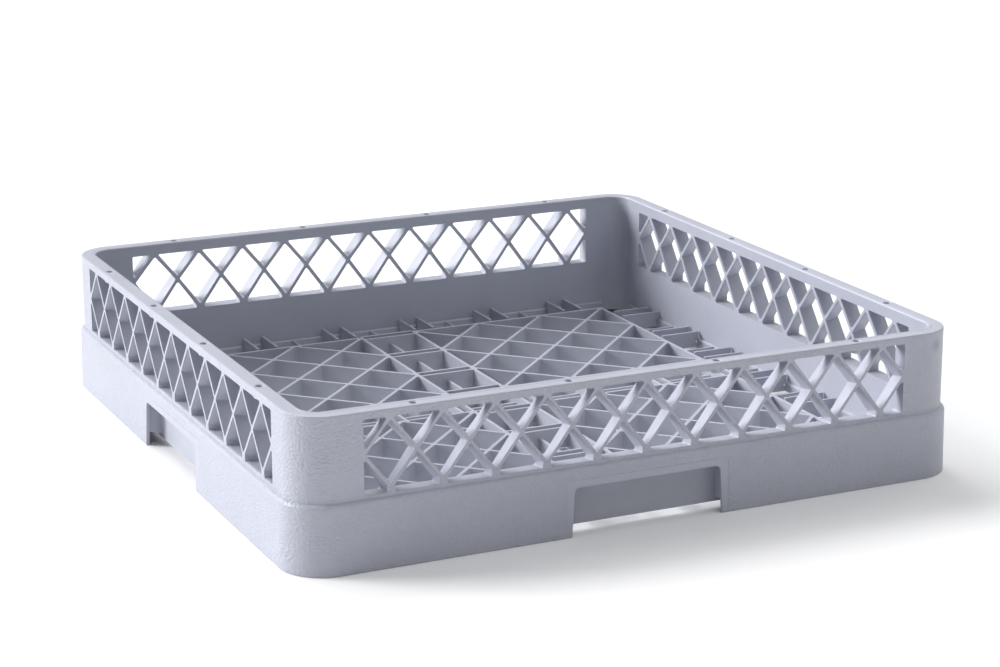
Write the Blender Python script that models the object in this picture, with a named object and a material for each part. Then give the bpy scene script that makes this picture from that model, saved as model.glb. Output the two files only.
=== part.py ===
"""Open rack for a commercial dishwasher, 500 x 500 x 105 mm, in metres with +Z up.

The real rack is one polypropylene moulding. It is drawn here as its moulded regions, each a
closed solid with a 0.3 mm gap to its neighbours: a skirt that stands on the floor with a
hand-hold in each side, a smaller wall band with a lattice window in each side, a solid rim
with peg holes, and a floor of four lattice blocks with ribbed channels between them.
Origin: middle of the footprint, on the floor. Front is -Y.
"""

import math

import bmesh
import bpy

# Driving dimensions, in metres.
SIDE = 0.500
HEIGHT = 0.105
GAP = 0.0003

SKIRT_HEIGHT = 0.047
SKIRT_WALL = 0.0025
SKIRT_RADIUS = 0.030
SHELF_THICKNESS = 0.0023

BAND_INSET = 0.004
BAND_WALL = 0.0113
BAND_RADIUS = 0.027

WINDOW_HALF = 0.2013
WINDOW_BOTTOM = 0.0530
WINDOW_TOP = 0.0995
DIAMONDS = 11
BAR_WIDTH = 0.0031

PEG_HOLE_RADIUS = 0.0025
PEG_BOSS_RADIUS = 0.0045
PEG_BOSS_BOTTOM = 0.0967
PEG_PITCH = 0.110

INNER_WALL = 0.0032
INNER_WALL_BOTTOM = 0.0045

HOLD_HALF_TOP = 0.0545
HOLD_HALF_BOTTOM = 0.0570
HOLD_HEIGHT = 0.034
HOLD_CORNER = 0.0035
HOLD_RIB = 0.0022

RIB = 0.0022
RIB_BOTTOM = 0.003
STUB_BOTTOM = 0.006
RIB_TOP = 0.0183
LOW_RIB_TOP = 0.0126
BORDER_RIB = 0.0025
BLOCK_NEAR = 0.0255
HALF_CELL = 0.029
CELLS = 3
PAIR_HALF = 0.00425

LEDGE_BOTTOM = 0.0055
LEDGE_TOP = 0.012
LEDGE_WIDTH = 0.0025
STUB_TOP = 0.0190
STUB_PITCH = 0.0686
STUB_HALF = 0.008
STUB_SHORT_OF_WALL = 0.001

# What follows from them.
SKIRT_HALF = SIDE / 2
BAND_HALF = SKIRT_HALF - BAND_INSET
INSIDE_HALF = BAND_HALF - BAND_WALL
INSIDE_RADIUS = BAND_RADIUS - BAND_WALL
INSIDE_CENTRE = INSIDE_HALF - INSIDE_RADIUS
SKIRT_CENTRE = SKIRT_HALF - SKIRT_RADIUS
SHELF_BOTTOM = SKIRT_HEIGHT - SHELF_THICKNESS
UNDER_SHELF = SHELF_BOTTOM - GAP
BAND_MIDDLE = (BAND_HALF + INSIDE_HALF) / 2
BLOCK_FAR = BLOCK_NEAR + 2 * CELLS * HALF_CELL

SIDES = {"front": 0, "right": 1, "back": 2, "left": 3}
CORNERS = {"front_left": 0, "front_right": 1, "back_right": 2, "back_left": 3}
QUARTER = math.pi / 2
ARC_STEPS = 8


def clear_scene():
    for old in list(bpy.data.objects):
        bpy.data.objects.remove(old, do_unlink=True)


def plastic(name, colour, roughness):
    """A Principled BSDF in one colour."""
    made = bpy.data.materials.new(name)
    made.use_nodes = True
    shader = made.node_tree.nodes["Principled BSDF"]
    shader.inputs["Base Color"].default_value = (*colour, 1.0)
    shader.inputs["Roughness"].default_value = roughness
    shader.inputs["Metallic"].default_value = 0.0
    return made


def add_object(name, data, material):
    made = bpy.data.objects.new(name, data)
    data.materials.append(material)
    bpy.context.scene.collection.objects.link(made)
    return made


def extruded(name, loops, depth, material):
    """A flat outline with its holes, given thickness along local Z, half to each side."""
    curve = bpy.data.curves.new(name, "CURVE")
    curve.dimensions = "2D"
    curve.fill_mode = "BOTH"
    curve.extrude = depth / 2
    for loop in loops:
        spline = curve.splines.new("POLY")
        spline.points.add(len(loop) - 1)
        for point, (u, v) in zip(spline.points, loop):
            point.co = (u, v, 0.0, 1.0)
        spline.use_cyclic_u = True
    return add_object(name, curve, material)


def stand_on_side(piece, turn, outward):
    """Stands a piece drawn as (along, up) in the wall whose middle plane is this far out."""
    piece.rotation_euler = (QUARTER, 0.0, turn * QUARTER)
    piece.location = (
        outward * math.sin(turn * QUARTER),
        -outward * math.cos(turn * QUARTER),
        0.0,
    )


def lay_flat(piece, turn, bottom, top):
    """Lays a piece drawn in plan between two heights, turned from the front to its side."""
    piece.rotation_euler = (0.0, 0.0, turn * QUARTER)
    piece.location = (0.0, 0.0, (bottom + top) / 2)


def rectangle(u0, v0, u1, v1):
    return [(u0, v0), (u1, v0), (u1, v1), (u0, v1)]


def arc(centre, radius, start, end, steps=ARC_STEPS):
    angles = [start + (end - start) * i / steps for i in range(steps + 1)]
    return [(centre[0] + radius * math.cos(a), centre[1] + radius * math.sin(a)) for a in angles]


def corner_outline(outer, outer_radius, inner, inner_radius, leg):
    """Plan of the corner at -X -Y of a rounded wall, cut off square at leg from the middle."""
    outer_centre = (outer_radius - outer, outer_radius - outer)
    inner_centre = (inner_radius - inner, inner_radius - inner)
    outside = arc(outer_centre, outer_radius, math.pi, 1.5 * math.pi)
    inside = arc(inner_centre, inner_radius, 1.5 * math.pi, math.pi)
    ends_out = [(-outer, -leg)] + outside + [(-leg, -outer)]
    ends_in = [(-leg, -inner)] + inside + [(-inner, -leg)]
    points = []
    for point in ends_out + ends_in:
        if not points or math.dist(point, points[-1]) > 1e-6:
            points.append(point)
    return points


def boxes_mesh(name, boxes):
    """One mesh of separate boxes, each given as its lowest and highest corner."""
    bm = bmesh.new()
    for low, high in boxes:
        made = bmesh.ops.create_cube(bm, size=1.0)
        for vertex in made["verts"]:
            for axis in range(3):
                middle = (low[axis] + high[axis]) / 2
                vertex.co[axis] = middle + vertex.co[axis] * (high[axis] - low[axis])
    mesh = bpy.data.meshes.new(name)
    bm.to_mesh(mesh)
    bm.free()
    return mesh


def pegs_mesh(name, radius, bottom, top, segments):
    """Four upright round pegs on the front wall's middle line."""
    bm = bmesh.new()
    for step in (-1.5, -0.5, 0.5, 1.5):
        made = bmesh.ops.create_cone(
            bm,
            cap_ends=True,
            segments=segments,
            radius1=radius,
            radius2=radius,
            depth=top - bottom,
        )
        for vertex in made["verts"]:
            vertex.co.x += step * PEG_PITCH
            vertex.co.y -= BAND_MIDDLE
            vertex.co.z += (bottom + top) / 2
    mesh = bpy.data.meshes.new(name)
    bm.to_mesh(mesh)
    bm.free()
    return mesh


def add_boolean(piece, mesh, operation, material):
    """Joins or cuts a piece with a hidden helper that turns with it."""
    helper = add_object(mesh.name, mesh, material)
    helper.rotation_euler = piece.rotation_euler
    helper.hide_render = True
    helper.display_type = "WIRE"
    boolean = piece.modifiers.new(operation.title(), "BOOLEAN")
    boolean.operation = operation
    boolean.solver = "EXACT"
    boolean.object = helper


def lattice_outline():
    """Zigzag edge and diamond holes of one window's crossed bars, as (along, up)."""
    pitch = 2 * WINDOW_HALF / DIAMONDS
    middle = (WINDOW_BOTTOM + WINDOW_TOP) / 2
    rise = (WINDOW_TOP - WINDOW_BOTTOM) / 2 - GAP
    slant = math.hypot(pitch / 2, rise)
    along = BAR_WIDTH / 2 * slant / rise
    up = BAR_WIDTH / 2 * slant / (pitch / 2)
    left = -WINDOW_HALF + GAP

    def edge(sign):
        points = [(left, middle + sign * up)]
        for i in range(DIAMONDS):
            node = -WINDOW_HALF + (i + 0.5) * pitch
            points.append((node - along, middle + sign * rise))
            points.append((node + along, middle + sign * rise))
            if i < DIAMONDS - 1:
                points.append((node + pitch / 2, middle + sign * up))
        points.append((-left, middle + sign * up))
        return points

    outline = edge(-1) + edge(1)[::-1]
    holes = []
    for i in range(DIAMONDS):
        node = -WINDOW_HALF + (i + 0.5) * pitch
        reach = pitch / 2 - along
        if i in (0, DIAMONDS - 1):
            reach -= GAP
        holes.append(
            [
                (node - reach, middle),
                (node, middle - rise + up),
                (node + reach, middle),
                (node, middle + rise - up),
            ]
        )
    return [outline] + holes


def skirt_outline():
    """One side of the skirt with its hand-hold, which is open at the bottom."""
    end = SKIRT_CENTRE - GAP
    slope = (HOLD_HALF_BOTTOM - HOLD_HALF_TOP) / HOLD_HEIGHT
    beside = HOLD_HALF_TOP + slope * HOLD_CORNER
    centre_u = beside - HOLD_CORNER
    centre_v = HOLD_HEIGHT - HOLD_CORNER
    left_arc = arc((-centre_u, centre_v), HOLD_CORNER, math.pi, QUARTER, 4)
    right_arc = arc((centre_u, centre_v), HOLD_CORNER, QUARTER, 0.0, 4)
    hold = [(-HOLD_HALF_BOTTOM, 0.0)] + left_arc + right_arc + [(HOLD_HALF_BOTTOM, 0.0)]
    return [(-end, 0.0)] + hold + [(end, 0.0), (end, UNDER_SHELF), (-end, UNDER_SHELF)]


def inner_wall_plan():
    """Plan of the wall inside the front skirt, with the rib at each end of the hand-hold."""
    end = INSIDE_CENTRE - GAP
    inside = -INSIDE_HALF
    outside = -INSIDE_HALF - INNER_WALL
    tip = -(SKIRT_HALF - SKIRT_WALL - GAP)
    near = HOLD_HALF_BOTTOM + GAP
    far = near + HOLD_RIB
    ribbed = [(-far, outside), (-far, tip), (-near, tip), (-near, outside)]
    mirrored = [(-u, v) for u, v in reversed(ribbed)]
    return [(end, inside), (-end, inside), (-end, outside)] + ribbed + mirrored + [(end, outside)]


def floor_block_plan():
    """Plan of the floor block at -X -Y: a border rib and diagonal ribs, as holes in a square."""
    half_rib = RIB / 2
    half_border = BORDER_RIB / 2
    low = -BLOCK_FAR
    high = -BLOCK_NEAR
    loops = [
        rectangle(low - half_border, low - half_border, high + half_border, high + half_border)
    ]
    reach = HALF_CELL - half_rib * math.sqrt(2)
    steps = 2 * CELLS
    for i in range(steps + 1):
        for j in range(steps + 1):
            if (i + j) % 2 == 0:
                continue
            u = low + i * HALF_CELL
            v = low + j * HALF_CELL
            left = (u - reach, v)
            right = (u + reach, v)
            below = (u, v - reach)
            above = (u, v + reach)
            cut = reach - half_border
            if i == 0:
                loops.append([(u + half_border, v - cut), right, (u + half_border, v + cut)])
            elif i == steps:
                loops.append([(u - half_border, v + cut), left, (u - half_border, v - cut)])
            elif j == 0:
                loops.append([(u + cut, v + half_border), above, (u - cut, v + half_border)])
            elif j == steps:
                loops.append([(u - cut, v - half_border), below, (u + cut, v - half_border)])
            else:
                loops.append([left, below, right, above])
    return loops


def cross_rib_places():
    """Distances from the middle of the paired ribs that tie two floor blocks together."""
    places = [BLOCK_NEAR, BLOCK_NEAR + 2 * PAIR_HALF]
    for cell in range(1, CELLS):
        node = BLOCK_NEAR + 2 * cell * HALF_CELL
        places += [node - PAIR_HALF, node + PAIR_HALF]
    return places + [BLOCK_FAR - 2 * PAIR_HALF, BLOCK_FAR]


def make_rim(material):
    for side, turn in SIDES.items():
        end = WINDOW_HALF
        box = ((-end, -BAND_HALF, WINDOW_TOP), (end, -INSIDE_HALF, HEIGHT))
        rim = add_object(f"rim_{side}", boxes_mesh(f"rim_{side}", [box]), material)
        rim.rotation_euler = (0.0, 0.0, turn * QUARTER)
        inside_rim = (WINDOW_TOP + HEIGHT) / 2
        bosses = pegs_mesh(f"bosses_{side}", PEG_BOSS_RADIUS, PEG_BOSS_BOTTOM, inside_rim, 16)
        add_boolean(rim, bosses, "UNION", material)
        above = HEIGHT + 0.002
        holes = pegs_mesh(f"peg_holes_{side}", PEG_HOLE_RADIUS, PEG_BOSS_BOTTOM - 0.002, above, 12)
        add_boolean(rim, holes, "DIFFERENCE", material)


def make_wall_band(material):
    for side, turn in SIDES.items():
        lattice = extruded(f"lattice_{side}", lattice_outline(), BAND_WALL, material)
        stand_on_side(lattice, turn, BAND_MIDDLE)
        end = WINDOW_HALF
        outline = [rectangle(-end, SKIRT_HEIGHT + GAP, end, WINDOW_BOTTOM)]
        sill = extruded(f"sill_{side}", outline, BAND_WALL, material)
        stand_on_side(sill, turn, BAND_MIDDLE)
    for corner, turn in CORNERS.items():
        leg = WINDOW_HALF + GAP
        plan = corner_outline(BAND_HALF, BAND_RADIUS, INSIDE_HALF, INSIDE_RADIUS, leg)
        bottom = SKIRT_HEIGHT + GAP
        post = extruded(f"corner_post_{corner}", [plan], HEIGHT - bottom, material)
        lay_flat(post, turn, bottom, HEIGHT)


def make_shelf(material):
    for side, turn in SIDES.items():
        end = INSIDE_CENTRE - GAP
        plan = [rectangle(-end, -SKIRT_HALF, end, -INSIDE_HALF)]
        shelf = extruded(f"shelf_{side}", plan, SHELF_THICKNESS, material)
        lay_flat(shelf, turn, SHELF_BOTTOM, SKIRT_HEIGHT)
    for corner, turn in CORNERS.items():
        plan = corner_outline(
            SKIRT_HALF, SKIRT_RADIUS, INSIDE_HALF, INSIDE_RADIUS, INSIDE_CENTRE
        )
        shelf = extruded(f"shelf_{corner}", [plan], SHELF_THICKNESS, material)
        lay_flat(shelf, turn, SHELF_BOTTOM, SKIRT_HEIGHT)


def make_skirt(material):
    for side, turn in SIDES.items():
        skirt = extruded(f"skirt_{side}", [skirt_outline()], SKIRT_WALL, material)
        stand_on_side(skirt, turn, SKIRT_HALF - SKIRT_WALL / 2)
    for corner, turn in CORNERS.items():
        inner = SKIRT_HALF - SKIRT_WALL
        plan = corner_outline(
            SKIRT_HALF, SKIRT_RADIUS, inner, SKIRT_RADIUS - SKIRT_WALL, SKIRT_CENTRE
        )
        skirt = extruded(f"skirt_{corner}", [plan], UNDER_SHELF, material)
        lay_flat(skirt, turn, 0.0, UNDER_SHELF)


def make_inner_wall(material):
    height = UNDER_SHELF - INNER_WALL_BOTTOM
    for side, turn in SIDES.items():
        wall = extruded(f"inner_wall_{side}", [inner_wall_plan()], height, material)
        lay_flat(wall, turn, INNER_WALL_BOTTOM, UNDER_SHELF)
    for corner, turn in CORNERS.items():
        plan = corner_outline(
            INSIDE_HALF + INNER_WALL,
            INSIDE_RADIUS + INNER_WALL,
            INSIDE_HALF,
            INSIDE_RADIUS,
            INSIDE_CENTRE,
        )
        wall = extruded(f"inner_wall_{corner}", [plan], height, material)
        lay_flat(wall, turn, INNER_WALL_BOTTOM, UNDER_SHELF)


def make_floor_blocks(material):
    for corner, turn in CORNERS.items():
        block = extruded(
            f"floor_grid_{corner}", floor_block_plan(), RIB_TOP - RIB_BOTTOM, material
        )
        lay_flat(block, turn, RIB_BOTTOM, RIB_TOP)


def make_channels(material):
    """The cross-shaped channel between the floor blocks: a low spine and tall paired ribs."""
    half = RIB / 2
    reach = BLOCK_NEAR - BORDER_RIB / 2 - GAP
    places = cross_rib_places()
    for side, turn in SIDES.items():
        spine = ((-half, -places[-1], LEDGE_BOTTOM), (half, -places[0], LOW_RIB_TOP))
        name = f"channel_{side}"
        channel = add_object(name, boxes_mesh(name, [spine]), material)
        channel.rotation_euler = (0.0, 0.0, turn * QUARTER)
        ribs = [
            ((-reach, -place - half, RIB_BOTTOM), (reach, -place + half, RIB_TOP))
            for place in places
        ]
        add_boolean(channel, boxes_mesh(f"channel_ribs_{side}", ribs), "UNION", material)
    end = BLOCK_NEAR - half - GAP
    plus = [
        (-half, -end), (half, -end), (half, -half), (end, -half), (end, half), (half, half),
        (half, end), (-half, end), (-half, half), (-end, half), (-end, -half), (-half, -half),
    ]
    centre = extruded("channel_centre", [plus], LOW_RIB_TOP - LEDGE_BOTTOM, material)
    lay_flat(centre, 0, LEDGE_BOTTOM, LOW_RIB_TOP)


def make_combs(material):
    """The ledge at the foot of each wall, with the rib pairs that reach for the floor blocks."""
    half = RIB / 2
    wall = -INSIDE_HALF + GAP
    start = -BLOCK_FAR - BORDER_RIB / 2 - GAP
    tip = -INSIDE_HALF + STUB_SHORT_OF_WALL
    end = INSIDE_CENTRE - GAP
    for side, turn in SIDES.items():
        ledge = ((-end, wall, LEDGE_BOTTOM), (end, wall + LEDGE_WIDTH, LEDGE_TOP))
        name = f"comb_{side}"
        comb = add_object(name, boxes_mesh(name, [ledge]), material)
        comb.rotation_euler = (0.0, 0.0, turn * QUARTER)
        ribs = []
        for step in (-2.5, -1.5, -0.5, 0.5, 1.5, 2.5):
            for offset in (-STUB_HALF, STUB_HALF):
                u = step * STUB_PITCH + offset
                ribs.append(((u - half, tip, STUB_BOTTOM), (u + half, start, STUB_TOP)))
        for step in range(-2, 3):
            u = step * STUB_PITCH
            ribs.append(((u - half, tip, STUB_BOTTOM), (u + half, start, LOW_RIB_TOP)))
        add_boolean(comb, boxes_mesh(f"comb_ribs_{side}", ribs), "UNION", material)


def main():
    clear_scene()
    grained = plastic("grained_polypropylene", (0.50, 0.52, 0.57), 0.45)
    smooth = plastic("smooth_polypropylene", (0.50, 0.52, 0.57), 0.35)
    ribbed = plastic("floor_polypropylene", (0.48, 0.50, 0.55), 0.40)
    make_rim(smooth)
    make_wall_band(smooth)
    make_shelf(grained)
    make_skirt(grained)
    make_inner_wall(smooth)
    make_floor_blocks(ribbed)
    make_channels(ribbed)
    make_combs(ribbed)


main()
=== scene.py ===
"""Looks of an open rack for a commercial dishwasher, 500 x 500 x 105 mm.

The rack is one moulding in light bluish grey polypropylene. Its continuous wall, the four
window lattices, the peg sockets, the hand-hold ribs, the four floor blocks, the channel ribs
and the combs at the foot of the walls are made here, each from the frame's own sizes.
Metres, +Z up, front is -Y.
"""

import logging
import math
from dataclasses import dataclass
from enum import Enum
from typing import Callable, ClassVar, Sequence

import bmesh
import bpy
from mathutils import Matrix, Vector

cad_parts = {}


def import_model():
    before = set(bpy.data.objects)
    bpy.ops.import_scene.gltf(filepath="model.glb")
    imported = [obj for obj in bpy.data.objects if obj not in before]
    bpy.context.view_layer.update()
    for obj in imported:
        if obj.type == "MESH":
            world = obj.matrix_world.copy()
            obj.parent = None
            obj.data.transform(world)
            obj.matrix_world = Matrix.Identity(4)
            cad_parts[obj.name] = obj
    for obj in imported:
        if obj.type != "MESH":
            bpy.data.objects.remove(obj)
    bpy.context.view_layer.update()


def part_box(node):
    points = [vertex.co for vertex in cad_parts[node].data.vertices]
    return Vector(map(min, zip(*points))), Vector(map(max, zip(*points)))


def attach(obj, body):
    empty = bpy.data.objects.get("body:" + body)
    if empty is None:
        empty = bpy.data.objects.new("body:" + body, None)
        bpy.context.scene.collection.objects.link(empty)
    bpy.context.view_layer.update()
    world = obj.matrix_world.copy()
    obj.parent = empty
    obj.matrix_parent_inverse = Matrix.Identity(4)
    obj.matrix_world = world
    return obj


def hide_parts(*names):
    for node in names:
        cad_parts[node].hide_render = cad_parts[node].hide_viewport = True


LOG = logging.getLogger("rack")
QUARTER = math.pi / 2
ROOT = "root"
PEG_STEPS = (-1.5, -0.5, 0.5, 1.5)
BEYOND = 0.004  # how far a cutter reaches past the wall, in metres


class Place(Enum):
    """A place that repeats by quarter turns; its value counts them."""

    @property
    def word(self) -> str:
        """Its name as the frame's nodes spell it."""
        return self.name.lower()

    @property
    def turn(self) -> Matrix:
        """The rotation that carries the first place to this one."""
        return Matrix.Rotation(self.value * QUARTER, 4, "Z")


class Side(Place):
    """The four sides, from the front."""

    FRONT = 0
    RIGHT = 1
    BACK = 2
    LEFT = 3


class Corner(Place):
    """The four corners, from the front left one."""

    FRONT_LEFT = 0
    FRONT_RIGHT = 1
    BACK_RIGHT = 2
    BACK_LEFT = 3


class Grain(Enum):
    """How a face of the mould was finished."""

    PEBBLED = "pebbled"
    SATIN = "satin"
    DRAWN = "drawn"


# ---------------------------------------------------------------- node wiring


class Wire:
    """A node socket that takes part in arithmetic; each operator adds a Math node."""

    def __init__(self, board: "Board", socket: bpy.types.NodeSocket) -> None:
        """Keeps the socket and the board that it belongs to."""
        self.board = board
        self.socket = socket

    def _math(self, operation: str, *values: object) -> "Wire":
        """A Math node of this operation on these values."""
        return self.board.node(
            self.board.math_type, {"operation": operation}, dict(enumerate(values))
        )

    def __add__(self, other: object) -> "Wire":
        """Sum."""
        return self._math("ADD", self, other)

    __radd__ = __add__

    def __sub__(self, other: object) -> "Wire":
        """Difference."""
        return self._math("SUBTRACT", self, other)

    def __rsub__(self, other: object) -> "Wire":
        """Difference, reflected."""
        return self._math("SUBTRACT", other, self)

    def __mul__(self, other: object) -> "Wire":
        """Product."""
        return self._math("MULTIPLY", self, other)

    __rmul__ = __mul__

    def __truediv__(self, other: object) -> "Wire":
        """Quotient."""
        return self._math("DIVIDE", self, other)

    def __rtruediv__(self, other: object) -> "Wire":
        """Quotient, reflected."""
        return self._math("DIVIDE", other, self)

    def __pow__(self, other: object) -> "Wire":
        """Power."""
        return self._math("POWER", self, other)

    def __abs__(self) -> "Wire":
        """Size without sign."""
        return self._math("ABSOLUTE", self)

    def at_least(self, other: object) -> "Wire":
        """The larger of the two."""
        return self._math("MAXIMUM", self, other)

    def at_most(self, other: object) -> "Wire":
        """The smaller of the two."""
        return self._math("MINIMUM", self, other)

    def root(self) -> "Wire":
        """Square root."""
        return self._math("SQRT", self)

    def ramp(self, start: float, end: float) -> "Wire":
        """Zero at start and one at end, smooth between them.

        Args:
            start: Value that gives 0.
            end: Value that gives 1.

        Returns:
            The smoothed value.
        """
        return self.board.node(
            "ShaderNodeMapRange",
            {"interpolation_type": "SMOOTHSTEP", "clamp": True},
            {"Value": self, "From Min": start, "From Max": end},
        )


class Board:
    """A node tree with one way to add a node."""

    math_type = "ShaderNodeMath"

    def __init__(self, tree: bpy.types.NodeTree) -> None:
        """Keeps the tree."""
        self.tree = tree

    def node(
        self,
        kind: str,
        settings: dict[str, object] | None = None,
        values: dict[object, object] | None = None,
        out: object = 0,
    ) -> Wire:
        """Adds a node.

        Args:
            kind: The node's type name.
            settings: Its properties, set before its sockets are read.
            values: What goes into its sockets, by name or number.
            out: The output to hand back, by name or number.

        Returns:
            The chosen output.
        """
        made = self.tree.nodes.new(kind)
        for key, value in (settings or {}).items():
            setattr(made, key, value)
        for key, value in (values or {}).items():
            self.feed(made.inputs[key], value)
        return Wire(self, made.outputs[out])

    def feed(self, socket: bpy.types.NodeSocket, value: object) -> None:
        """Links a wire to a socket, or several to one that takes many, or sets its value."""
        if isinstance(value, Wire):
            self.tree.links.new(value.socket, socket)
        elif isinstance(value, list):
            for one in value:
                self.tree.links.new(one.socket, socket)
        else:
            socket.default_value = value


class ShapeBoard(Board):
    """A Geometry Nodes tree with named inputs, run once on an empty mesh."""

    def __init__(self, name: str) -> None:
        """Starts an empty tree."""
        tree = bpy.data.node_groups.new(name, "GeometryNodeTree")
        tree.interface.new_socket("Geometry", in_out="OUTPUT", socket_type="NodeSocketGeometry")
        super().__init__(tree)
        self.values: dict[str, object] = {}

    def sizes(self, **values: float | int) -> dict[str, Wire]:
        """Args:
            **values: Name and value of each input; underscores read as spaces.

        Returns:
            A wire for each input, by its keyword.
        """
        for key, value in values.items():
            kind = "NodeSocketInt" if isinstance(value, int) else "NodeSocketFloat"
            made = self.tree.interface.new_socket(
                key.replace("_", " ").title(), in_out="INPUT", socket_type=kind
            )
            self.values[made.identifier] = value
        source = self.tree.nodes.new("NodeGroupInput")
        return {key: Wire(self, source.outputs[i]) for i, key in enumerate(values)}

    def vector(self, x: object = 0.0, y: object = 0.0, z: object = 0.0) -> Wire:
        """A vector from three values."""
        return self.node("ShaderNodeCombineXYZ", {}, {0: x, 1: y, 2: z})

    def split(self, vector: Wire) -> tuple[Wire, Wire, Wire]:
        """A vector's three values."""
        made = self.node("ShaderNodeSeparateXYZ", {}, {0: vector}).socket.node
        return tuple(Wire(self, made.outputs[i]) for i in range(3))

    def remember(self, shape: Wire, name: str, value: Wire) -> Wire:
        """Stores a vector on the shape's points under a name."""
        return self.node(
            "GeometryNodeStoreNamedAttribute",
            {"data_type": "FLOAT_VECTOR", "domain": "POINT"},
            {"Geometry": shape, "Name": name, "Value": value},
        )

    def recall(self, name: str) -> Wire:
        """The vector stored under a name."""
        return self.node(
            "GeometryNodeInputNamedAttribute", {"data_type": "FLOAT_VECTOR"}, {"Name": name}
        )

    def move(
        self,
        shape: Wire,
        offset: object = (0.0, 0.0, 0.0),
        turn: object = (0.0, 0.0, 0.0),
        scale: object = (1.0, 1.0, 1.0),
    ) -> Wire:
        """Scales, turns, then moves a shape."""
        return self.node(
            "GeometryNodeTransform",
            {},
            {"Geometry": shape, "Translation": offset, "Rotation": turn, "Scale": scale},
        )

    def join(self, *shapes: Wire) -> Wire:
        """Several shapes as one."""
        return self.node("GeometryNodeJoinGeometry", {}, {0: list(shapes)[::-1]})

    def row(self, count: object, first: Wire, step: Wire) -> Wire:
        """A row of points."""
        return self.node(
            "GeometryNodeMeshLine",
            {"mode": "OFFSET", "count_mode": "TOTAL"},
            {"Count": count, "Start Location": first, "Offset": step},
        )

    def copies(self, points: Wire, shape: Wire) -> Wire:
        """The shape at each point, as real geometry."""
        made = self.node(
            "GeometryNodeInstanceOnPoints", {}, {"Points": points, "Instance": shape}
        )
        return self.node("GeometryNodeRealizeInstances", {}, {"Geometry": made})

    def ring(self, corners: int, scale: Wire, turn: float = 0.0) -> Wire:
        """A closed outline of a few corners on a circle, turned, then scaled."""
        made = self.node(
            "GeometryNodeCurvePrimitiveCircle",
            {"mode": "RADIUS"},
            {"Resolution": corners, "Radius": 1.0},
        )
        turned = self.move(made, turn=(0.0, 0.0, turn))
        return self.move(turned, scale=scale)

    def rounded(self, outline: Wire, radius: object, steps: int) -> Wire:
        """An outline with its corners rounded."""
        return self.node(
            "GeometryNodeFilletCurve",
            {"mode": "POLY"},
            {"Curve": outline, "Count": steps, "Radius": radius, "Limit Radius": True},
        )

    def plate(self, outlines: Wire, offset: Wire) -> Wire:
        """A closed plate from outlines and the holes in them, drawn along an offset."""
        face = self.node("GeometryNodeFillCurve", {"mode": "NGONS"}, {"Curve": outlines})
        drawn = self.node(
            "GeometryNodeExtrudeMesh",
            {"mode": "FACES"},
            {"Mesh": face, "Offset": offset, "Offset Scale": 1.0, "Individual": False},
        )
        back = self.node("GeometryNodeFlipFaces", {}, {"Mesh": face})
        return self.node(
            "GeometryNodeMergeByDistance",
            {},
            {"Geometry": self.join(drawn, back), "Distance": 1e-6},
        )

    def finish(self, shape: Wire, material: bpy.types.Material) -> None:
        """Ends the tree: real geometry with its material."""
        real = self.node("GeometryNodeRealizeInstances", {}, {"Geometry": shape})
        dressed = self.node(
            "GeometryNodeSetMaterial", {}, {"Geometry": real, "Material": material}
        )
        end = self.tree.nodes.new("NodeGroupOutput")
        self.feed(end.inputs["Geometry"], dressed)

    def run(self) -> bpy.types.Mesh:
        """Evaluates the tree once.

        Returns:
            The result as a plain mesh.
        """
        name = self.tree.name
        host = bpy.data.objects.new(name, bpy.data.meshes.new(name))
        bpy.context.scene.collection.objects.link(host)
        modifier = host.modifiers.new(name, "NODES")
        modifier.node_group = self.tree
        for identifier, value in self.values.items():
            modifier[identifier] = value
        graph = bpy.context.evaluated_depsgraph_get()
        evaluated = host.evaluated_get(graph)
        made = bpy.data.meshes.new_from_object(evaluated, depsgraph=graph)
        bpy.data.objects.remove(host, do_unlink=True)
        return made


# ------------------------------------------------------------------- finishes


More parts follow.
